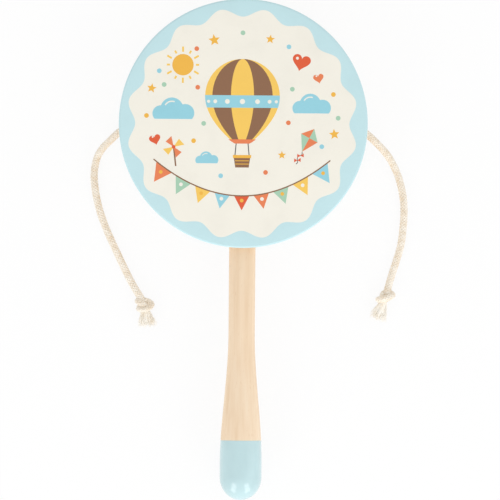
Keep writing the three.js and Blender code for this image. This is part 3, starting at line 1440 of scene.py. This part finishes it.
class Route:
    """A smooth line through points, read by distance."""

    def __init__(self, points: Sequence[Point3 | Vector], samples: int = 24) -> None:
        """Sample a centripetal curve through the points.

        Args:
            points: The points, in millimetres.
            samples: Samples between two points.
        """
        knots = [Vector(p) for p in points]
        ends = [2 * knots[0] - knots[1], *knots, 2 * knots[-1] - knots[-2]]
        self.line: list[Vector] = [knots[0].copy()]
        for a, b, c, d in zip(ends, ends[1:], ends[2:], ends[3:]):
            self.line += [self.between(a, b, c, d, (i + 1) / samples) for i in range(samples)]
        self.along = distances(self.line)

    @staticmethod
    def between(a: Vector, b: Vector, c: Vector, d: Vector, share: float) -> Vector:
        """A point of the curve between the middle two of four points.

        Args:
            a: The point before.
            b: Where the stretch starts.
            c: Where it ends.
            d: The point after.
            share: How far along the stretch, from 0 to 1.

        Returns:
            The point.
        """
        t0 = 0.0
        t1 = t0 + math.sqrt((b - a).length)
        t2 = t1 + math.sqrt((c - b).length)
        t3 = t2 + math.sqrt((d - c).length)
        t = t1 + (t2 - t1) * share
        ab = a.lerp(b, (t - t0) / (t1 - t0))
        bc = b.lerp(c, (t - t1) / (t2 - t1))
        cd = c.lerp(d, (t - t2) / (t3 - t2))
        abc = ab.lerp(bc, (t - t0) / (t2 - t0))
        bcd = bc.lerp(cd, (t - t1) / (t3 - t1))
        return abc.lerp(bcd, (t - t1) / (t2 - t1))

    @property
    def length(self) -> float:
        """The whole length."""
        return self.along[-1]

    def spaced(self, step: float, spared: float = 0.0) -> list[Vector]:
        """Points about a step apart, from the start.

        Args:
            step: The distance between points.
            spared: How far before the end the last point lies.

        Returns:
            The points.
        """
        end = self.length - spared
        count = max(2, round(end / step))
        found: list[Vector] = []
        index = 0
        for i in range(count + 1):
            want = min(end * i / count, self.length)
            while index < len(self.along) - 2 and self.along[index + 1] < want:
                index += 1
            gap = self.along[index + 1] - self.along[index]
            found.append(self.line[index].lerp(self.line[index + 1], (want - self.along[index]) / gap))
        return found


def distances(line: Sequence[Vector]) -> list[float]:
    """Measure how far along a line each of its points lies.

    Args:
        line: The line's points.

    Returns:
        The distances, from 0 to the line's length.
    """
    along = [0.0]
    for first, second in zip(line, line[1:]):
        along.append(along[-1] + (second - first).length)
    return along


def carried_frames(line: Sequence[Vector]) -> list[tuple[Vector, Vector]]:
    """Two directions square to a line, carried along it without twisting.

    Args:
        line: The line's points.

    Returns:
        The two directions at each point.
    """
    tangents = [
        (line[min(i + 1, len(line) - 1)] - line[max(i - 1, 0)]).normalized() for i in range(len(line))
    ]
    side = tangents[0].orthogonal().normalized()
    frames = []
    for tangent in tangents:
        side = (side - tangent * side.dot(tangent)).normalized()
        frames.append((side.copy(), tangent.cross(side)))
    return frames


def even(share: float) -> float:
    """Keep a yarn's radius the same all along it."""
    return 1.0


@dataclass(frozen=True)
class Yarn:
    """A strand: its middle line, its radius and how the radius changes along it."""

    points: list[Vector]
    radius: float
    taper: Callable[[float], float] = even


@dataclass(frozen=True)
class Braid:
    """A round braid of yarns that pass over and under each other."""

    outer_radius: float = 1.58
    yarns_each_way: int = 6
    lead: float = 7.6
    yarn_radius: float = 0.42
    weave: float = 0.15
    core_swell: float = 0.05
    step: float = 0.2

    def yarns(self, line: Sequence[Vector], size: float = 1.0) -> list[Yarn]:
        """Lay the yarns and a core round a line.

        Args:
            line: The braid's middle, with points a step apart.
            size: The braid's thickness as a share of the usual one.

        Returns:
            The yarns, with the core last.
        """
        frames = carried_frames(line)
        along = distances(line)
        middle = self.outer_radius - self.yarn_radius - self.weave
        found: list[Yarn] = []
        for way in (-1, 1):
            for k in range(self.yarns_each_way):
                points = []
                for point, (side, up), at in zip(line, frames, along):
                    turn = FULL_TURN * at / (self.lead * size)
                    angle = way * turn + FULL_TURN * k / self.yarns_each_way
                    radius = size * (middle + way * self.weave * math.cos(self.yarns_each_way * turn))
                    points.append(point + (side * math.cos(angle) + up * math.sin(angle)) * radius)
                found.append(Yarn(points, self.yarn_radius * size))
        found.append(Yarn([p.copy() for p in line], (middle + self.core_swell) * size))
        return found


def yarn_piece(name: str, yarns: Sequence[Yarn], finish: Material) -> Piece:
    """Sweep yarns into one piece.

    Args:
        name: The piece's name.
        yarns: The yarns, in millimetres.
        finish: Its material.

    Returns:
        The piece, in metres.
    """
    curve = bpy.data.curves.new(name, "CURVE")
    curve.dimensions = "3D"
    curve.bevel_depth = MM
    curve.bevel_resolution = 1
    curve.use_fill_caps = True
    for yarn in yarns:
        spline = curve.splines.new("POLY")
        last = len(yarn.points) - 1
        spline.points.add(last)
        for i, point in enumerate(yarn.points):
            spline.points[i].co = (*(point * MM), 1.0)
            spline.points[i].radius = yarn.radius * yarn.taper(i / last)
    holder = bpy.data.objects.new(name, curve)
    bpy.context.scene.collection.objects.link(holder)
    mesh = shaped_mesh(holder)
    bpy.data.objects.remove(holder)
    bpy.data.curves.remove(curve)
    return link_mesh(mesh, name, (finish,))


def lying_frame(origin: Vector, direction: Vector) -> Matrix:
    """A frame whose y runs along a direction and whose z points up.

    Args:
        origin: Where it lies.
        direction: The way that its y runs.

    Returns:
        The frame's matrix.
    """
    along = direction.normalized()
    across = along.cross(Vector((0, 0, 1))).normalized()
    up = across.cross(along)
    turn = Matrix((across, along, up)).transposed().to_4x4()
    return Matrix.Translation(origin) @ turn


@dataclass(frozen=True)
class OverhandKnot:
    """A tight overhand knot, entered at -y and left at +y, and pressed to the real knot's size."""

    width: float = 8.0
    length: float = 6.0
    height: float = 6.4
    cord_share: float = 1.25
    yarn_share: float = 0.8
    loop_radius: float = 2.8
    half_wind: float = math.radians(300)
    drawn_back: float = 4.4
    end_reach: float = 4.1
    half_steps: int = 12

    def half(self) -> list[Point3]:
        """Wind half of the loose knot: from the loop's middle, back round the cord, and out along y.

        Returns:
            The half's points.
        """
        points = []
        for i in range(self.half_steps + 1):
            share = i / self.half_steps
            angle = self.half_wind * share
            radius = self.loop_radius * (1 - share ** 3)
            along = self.end_reach * share ** 2 - self.drawn_back * math.sin(math.pi * share)
            points.append((radius * math.cos(angle), along, radius * math.sin(angle)))
        return points

    def loop(self) -> Route:
        """Lead the cord through the loose knot, whose two halves match by half a turn about x.

        Returns:
            The cord's route.
        """
        half = self.half()
        first = [(x, -y, -z) for x, y, z in reversed(half[1:])]
        return Route([*first, *half])

    def yarns(self, braid: Braid, place: Matrix, turn: float = 0.0) -> list[Yarn]:
        """Tie the knot in a braid and press it.

        Args:
            braid: The cord's braid.
            place: The knot's frame.
            turn: How far the knot is turned about the cord.

        Returns:
            The knot's yarns.
        """
        rolled = Matrix.Rotation(turn, 3, "Y")
        tied = braid.yarns([rolled @ point for point in self.loop().spaced(braid.step)], self.cord_share)
        yarn_width = 2 * braid.yarn_radius * self.cord_share * self.yarn_share
        reach = [[point[axis] for yarn in tied for point in yarn.points] for axis in range(3)]
        middle = Vector([(min(row) + max(row)) / 2 for row in reach])
        sizes = zip((self.width, self.length, self.height), reach)
        press = Matrix.Diagonal([(size - yarn_width) / (max(row) - min(row)) for size, row in sizes])
        return [
            Yarn([place @ (press @ (point - middle)) for point in yarn.points], yarn.radius * self.yarn_share)
            for yarn in tied
        ]


@dataclass(frozen=True)
class Tassel:
    """The frayed end of a cord: plump bundles of fibre under loose yarns that spread from the knot."""

    bundle_count: int = 22
    bundle_radius: float = 0.58
    bundle_reach: Point2 = (0.8, 0.96)
    bundle_spread: float = 0.78
    bundle_start: float = 0.55
    bundle_full_at: float = 0.6
    bundle_closes_from: float = 0.72
    bundle_closing: float = 0.8
    yarn_count: int = 170
    yarn_radius: float = 0.085
    yarn_reach: Point2 = (0.78, 1.06)
    yarn_spread: float = 1.08
    yarn_thinning: float = 0.5
    neck_radius: float = 0.7
    flatness: float = 0.55
    flare: float = 1.15
    sway: float = 0.3
    sway_turns: Point2 = (6.5, 5.5)
    sway_up: float = 0.6
    points: int = 11
    lowest: float = 0.15

    def plump(self, share: float) -> float:
        """Swell a bundle of fibre towards its end and close it to a blunt point."""
        swell = self.bundle_start + (1 - self.bundle_start) * smoothstep(share, 0.0, self.bundle_full_at)
        return swell * (1 - self.bundle_closing * smoothstep(share, self.bundle_closes_from, 1.0))

    def thinned(self, share: float) -> float:
        """Thin a loose yarn towards its end."""
        return 1 - self.yarn_thinning * share * share

    def strand(self, place: Matrix, reach: float, width: float, aim: Point2, chance: Random) -> list[Vector]:
        """Lead one strand from the knot to its end.

        Args:
            place: The frayed end's frame.
            reach: How far the strand goes.
            width: How wide the end is.
            aim: Where in the end's round it ends, from -1 to 1 across and up.
            chance: The random draws.

        Returns:
            The strand's points.
        """
        sway, phase = chance.uniform(-self.sway, self.sway), chance.uniform(0, FULL_TURN)
        turn_across, turn_up = self.sway_turns
        points = []
        for i in range(self.points):
            t = i / (self.points - 1)
            opened = t ** self.flare
            half = self.neck_radius + (width / 2 - self.neck_radius) * opened
            deep = self.neck_radius + (width / 2 * self.flatness - self.neck_radius) * opened
            x = aim[0] * half + sway * math.sin(phase + turn_across * t) * t
            z = aim[1] * deep + self.sway_up * sway * math.cos(phase + turn_up * t) * t
            point = place @ Vector((x, reach * t, z))
            point.z = max(point.z, self.lowest)
            points.append(point)
        return points

    def yarns(self, knot_centre: Vector, tip: Vector, width: float, seed: int) -> list[Yarn]:
        """Spread the bundles and the loose yarns.

        Args:
            knot_centre: Where they start.
            tip: Where the middle one ends.
            width: How wide the end is.
            seed: The number that starts the random draws.

        Returns:
            The strands.
        """
        chance = Random(seed)
        place = lying_frame(knot_centre, tip - knot_centre)
        length = (tip - knot_centre).length
        found = []
        sorts = (
            (self.bundle_count, self.bundle_radius, self.bundle_reach, self.bundle_spread, self.plump),
            (self.yarn_count, self.yarn_radius, self.yarn_reach, self.yarn_spread, self.thinned),
        )
        for count, radius, (least, most), spread, taper in sorts:
            for k in range(count):
                share = spread * math.sqrt((k + 0.5) / count)
                aim = polar((0.0, 0.0), share, k * FULL_TURN * GOLDEN_SHARE)
                reach = length * chance.uniform(least, most)
                found.append(Yarn(self.strand(place, reach, width, aim, chance), radius, taper))
        return found


@dataclass(frozen=True)
class CordMakings:
    """What both cords are made of."""

    braid: Braid
    stop_knot: OverhandKnot
    tassel: Tassel
    cotton: Material
    fray: Material


@dataclass(frozen=True)
class KnottedCord:
    """One cord: threaded through the hoop, knotted inside it, and hung with a knot and a frayed end."""

    side: str
    sign: int
    upper: Body
    lower: Body
    route: tuple[Point3, ...]
    tassel_tip: Point3
    tassel_width: float
    end_knot: OverhandKnot
    knot_turn: float
    seed: int
    hinge: int = 7
    diameter: float = CORD_DIAMETER
    ease: float = 8.0
    knot_overlap: float = 1.6
    stop_gap: float = 0.3
    stop_overlap: float = 1.0
    tail_reaches: Point2 = (2.5, 5.5)

    def threaded(self, makings: CordMakings) -> None:
        """Make the stretch inside the hoop's wall and the knot that stops it.

        Args:
            makings: What the cord is made of.
        """
        braid, knot, cotton = makings.braid, makings.stop_knot, makings.cotton
        x, y, z = self.route[0]
        stop = HOOP_INSIDE - self.stop_gap
        inner = self.sign * (stop - self.stop_overlap)
        line = Route([(inner, y, z), ((inner + x) / 2, y, z), (x, y, z)])
        stub = yarn_piece(f"{self.side}_cord_threaded", braid.yarns(line.spaced(braid.step)), cotton)
        settle(stub, Body.DRUM, Slot.CORD, f"{self.side}_cord_in_hoop")
        middle = Vector((self.sign * (stop - knot.length / 2), y, z))
        inward = Vector((-self.sign, 0, 0))
        lump = knot.yarns(braid, lying_frame(middle, inward))
        start = middle + inward * (knot.length / 2 - self.stop_overlap)
        tail = Route([start, *(start + inward * reach for reach in self.tail_reaches)])
        lump += braid.yarns(tail.spaced(braid.step))
        tied = yarn_piece(f"{self.side}_stop_knot_tied", lump, cotton)
        settle(tied, Body.DRUM, Slot.CORD, f"{self.side}_stop_knot")

    def end_pieces(self, makings: CordMakings) -> list[Piece]:
        """Make the end knot and the frayed end.

        Args:
            makings: What the cord is made of.

        Returns:
            The two pieces.
        """
        centre, tip = Vector(self.route[-1]), Vector(self.tassel_tip)
        lump = self.end_knot.yarns(makings.braid, lying_frame(centre, tip - centre), self.knot_turn)
        tied = yarn_piece(f"{self.side}_end_knot_tied", lump, makings.cotton)
        settle(tied, self.lower, Slot.CORD, f"{self.side}_end_knot")
        strands = makings.tassel.yarns(centre, tip, self.tassel_width, self.seed)
        frayed = yarn_piece(f"{self.side}_tassel_yarns", strands, makings.fray)
        settle(frayed, self.lower, Slot.CORD, f"{self.side}_tassel")
        return [tied, frayed]

    def build(self, makings: CordMakings) -> None:
        """Make the whole cord.

        Args:
            makings: What the cord is made of.
        """
        self.threaded(makings)
        ends = self.end_pieces(makings)
        line = Route(self.route).spaced(makings.braid.step, self.knot_overlap)
        name = f"{self.side}_cord_braid"
        cord = yarn_piece(name, makings.braid.yarns(line), makings.cotton)
        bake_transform(cord)
        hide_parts(f"{self.side}_cord_upper", f"{self.side}_cord_lower")


CORDS = (
    KnottedCord(
        side="left", sign=-1, upper=Body.LEFT_UPPER, lower=Body.LEFT_LOWER, seed=11,
        route=(
            (-46.3, -2.5, 12.5), (-48, -2.6, 12.4), (-50.2, -3.9, 11.3), (-53.2, -6.7, 8.7),
            (-56.4, -9.9, 5.9), (-58.5, -13.1, 3.7), (-59.6, -16.6, 2.2), (-60.1, -21.1, 1.6),
            (-59.5, -27.5, 1.6), (-58.1, -34, 1.6), (-55.3, -42, 1.6), (-51.7, -50, 1.6),
            (-47.8, -58.1, 1.6), (-44.4, -64.7, 2), (-39.2, -73.1, 3.3),
        ),
        tassel_tip=(-38.1, -81.9, 2.2), tassel_width=7.6,
        end_knot=OverhandKnot(), knot_turn=math.radians(165),
    ),
    KnottedCord(
        side="right", sign=1, upper=Body.RIGHT_UPPER, lower=Body.RIGHT_LOWER, seed=23,
        route=(
            (46.3, -2.5, 12.5), (48, -2.6, 12.4), (50.2, -4, 11.3), (53.2, -6.7, 8.9),
            (56.4, -9.9, 6.3), (59, -13.1, 4.2), (61.6, -17.9, 2.3), (63.4, -22.7, 1.6),
            (64.8, -29.2, 1.6), (65.2, -35.6, 1.6), (64.8, -42, 1.6), (64, -48.4, 1.6),
            (62.2, -54.9, 1.6), (60.2, -61.2, 2), (58, -69.4, 3.3),
        ),
        tassel_tip=(54.7, -78.4, 2.2), tassel_width=7.0,
        end_knot=OverhandKnot(width=7.4, length=6.6), knot_turn=math.radians(255),
    ),
)


# Studio


@dataclass(frozen=True)
class Softbox:
    """A soft rectangular lamp, in metres and watts."""

    direction: Point3
    width: float
    height: float
    distance: float
    watts: float


@dataclass
class Studio:
    """The pale floor, the soft light and the camera above the drum."""

    sensor: float = 36.0
    view_width: float = 200.8
    view_centre: Point3 = (3.1, -50.8, 25.0)
    camera_height: float = 4000.0
    camera_clip: Point2 = (100.0, 40000.0)
    roll: float = math.radians(0.45)
    floor_half: float = 3000.0
    floor_gap: float = 0.02
    floor_white: float = 0.95
    floor_help: float = 0.88
    sky_light: float = 0.82
    boxes: tuple[Softbox, ...] = (
        Softbox((-0.55, -0.745, 0.37), width=0.36, height=0.86, distance=0.9, watts=2.5),
        Softbox((0.55, -0.745, 0.37), width=0.36, height=0.86, distance=0.9, watts=2.5),
        Softbox((0.86, 0.0, 0.5), width=1.1, height=1.1, distance=1.4, watts=1.4),
    )
    box_target: Point3 = (0.0, -140.0, MID_HEIGHT)

    def floor_paper(self) -> Material:
        """Make paper that is white to the camera and still takes the shadow.

        Returns:
            The floor's material.
        """
        material = bpy.data.materials.new("floor_paper")
        material.use_nodes = True
        nodes, links = material.node_tree.nodes, material.node_tree.links
        nodes.clear()
        output = nodes.new("ShaderNodeOutputMaterial")
        mix = nodes.new("ShaderNodeMixShader")
        paper = nodes.new("ShaderNodeBsdfDiffuse")
        paper.inputs["Color"].default_value = (self.floor_white, self.floor_white, self.floor_white, 1.0)
        glow = nodes.new("ShaderNodeEmission")
        glow.inputs["Strength"].default_value = 1.0
        share = nodes.new("ShaderNodeMath")
        share.operation = "MULTIPLY"
        share.inputs[1].default_value = self.floor_help
        links.new(self.seen_rays(material.node_tree), share.inputs[0])
        for i, node in enumerate((share, paper, glow)):
            links.new(node.outputs[0], mix.inputs[i])
        links.new(mix.outputs[0], output.inputs["Surface"])
        return material

    def floor(self) -> None:
        """Lay the floor, a hair under the back print."""
        bm = bmesh.new()
        bmesh.ops.create_grid(bm, x_segments=1, y_segments=1, size=self.floor_half)
        sheet = publish(bm, "studio_floor", (self.floor_paper(),), smooth=False)
        sheet.location.z = -self.floor_gap * MM

    @staticmethod
    def seen_rays(tree: bpy.types.NodeTree) -> Socket:
        """Tell the rays that show a backdrop: the camera's, and those in gloss and glass.

        Args:
            tree: The node tree to add to.

        Returns:
            A socket that is 1 for such rays.
        """
        path = tree.nodes.new("ShaderNodeLightPath")
        total = path.outputs["Is Camera Ray"]
        for name in ("Is Glossy Ray", "Is Transmission Ray"):
            most = tree.nodes.new("ShaderNodeMath")
            most.operation = "MAXIMUM"
            tree.links.new(total, most.inputs[0])
            tree.links.new(path.outputs[name], most.inputs[1])
            total = most.outputs[0]
        return total

    def sky(self) -> None:
        """Surround the drum with soft white light."""
        world = bpy.data.worlds.new("studio_sky")
        world.use_nodes = True
        tree = world.node_tree
        back = tree.nodes["Background"]
        back.inputs["Color"].default_value = (1.0, 1.0, 1.0, 1.0)
        strength = tree.nodes.new("ShaderNodeMapRange")
        strength.inputs["To Min"].default_value = self.sky_light
        strength.inputs["To Max"].default_value = 1.0
        tree.links.new(self.seen_rays(tree), strength.inputs["Value"])
        tree.links.new(strength.outputs["Result"], back.inputs["Strength"])
        bpy.context.scene.world = world

    def softboxes(self) -> None:
        """Hang two softboxes on the handle's side and a wide one on the right."""
        for i, box in enumerate(self.boxes):
            lamp = bpy.data.lights.new(f"softbox_{i}", "AREA")
            lamp.shape = "RECTANGLE"
            lamp.size, lamp.size_y = box.width, box.height
            lamp.energy = box.watts
            way = Vector(box.direction).normalized()
            stand = bpy.data.objects.new(f"softbox_{i}", lamp)
            stand.location = Vector(self.box_target) * MM + way * box.distance
            upright = Vector((0.0, way.z, -way.y)).normalized()
            stand.rotation_euler = Matrix((upright.cross(way), upright, way)).transposed().to_euler()
            bpy.context.scene.collection.objects.link(stand)

    def camera(self) -> None:
        """Look straight down on the drum."""
        lens = bpy.data.cameras.new("camera")
        lens.sensor_width = self.sensor
        lens.lens = self.sensor * self.camera_height / self.view_width
        lens.clip_start, lens.clip_end = (reach * MM for reach in self.camera_clip)
        eye = bpy.data.objects.new("camera", lens)
        eye.location = (Vector(self.view_centre) + Vector((0, 0, self.camera_height))) * MM
        eye.rotation_euler = (0.0, 0.0, self.roll)
        bpy.context.scene.collection.objects.link(eye)
        bpy.context.scene.camera = eye

    def build(self) -> None:
        """Set up the whole studio."""
        self.floor()
        self.sky()
        self.softboxes()
        self.camera()
        bpy.context.scene.view_settings.view_transform = "Standard"


def main() -> None:
    """Build the studio, the cords, the drum and the handle."""
    logging.basicConfig(level=logging.INFO, format="%(name)s: %(message)s")
    Studio().build()
    cotton = CottonFinish("braided_cotton").build()
    # The frayed ends take a paler copy of the cord's cotton. Fluffed fibres are paler, and the colour is also
    # lifted as painted light to offset the shade that falls between the loose strands.
    fray = CottonFinish("frayed_cotton_lightened", pale=(255, 251, 243), deep=(250, 242, 228), sheen=0.5).build()
    stop_knot = OverhandKnot(width=7.6, length=5.6, height=7.6)
    makings = CordMakings(Braid(), stop_knot, Tassel(), cotton, fray)
    for cord in CORDS:
        cord.build(makings)
    inks = {ink: PaintFinish(f"ink_{ink.name.lower()}", ink.value).build() for ink in Ink}
    heads = DrumHeads()
    rim = PaintFinish("rim_paint", Ink.RIM.value, wear_from=heads.radius - heads.edge_radius).build()
    bare = BeechFinish("bare_board", GrainRun.ALONG_Y, seed_shift=(0.2, 0.1, 0.3)).build()
    heads.build((rim, bare))
    DrumHoop().build(BeechFinish("hoop_beech", GrainRun.ROUND_Z).build())
    front = FacePrint("front_print", face=heads.front_bottom + heads.thickness, outward=1.0)
    FairPicture().lay(front)
    front.build(inks)
    back = FacePrint("back_print", face=0.0, outward=-1.0)
    back.scalloped_field()
    back.build(inks)
    turned = BeechFinish("handle_beech", GrainRun.ALONG_Y).build()
    Handle().build(turned, LacquerFinish("dip_lacquer").build())


if __name__ == "__main__":
    main()
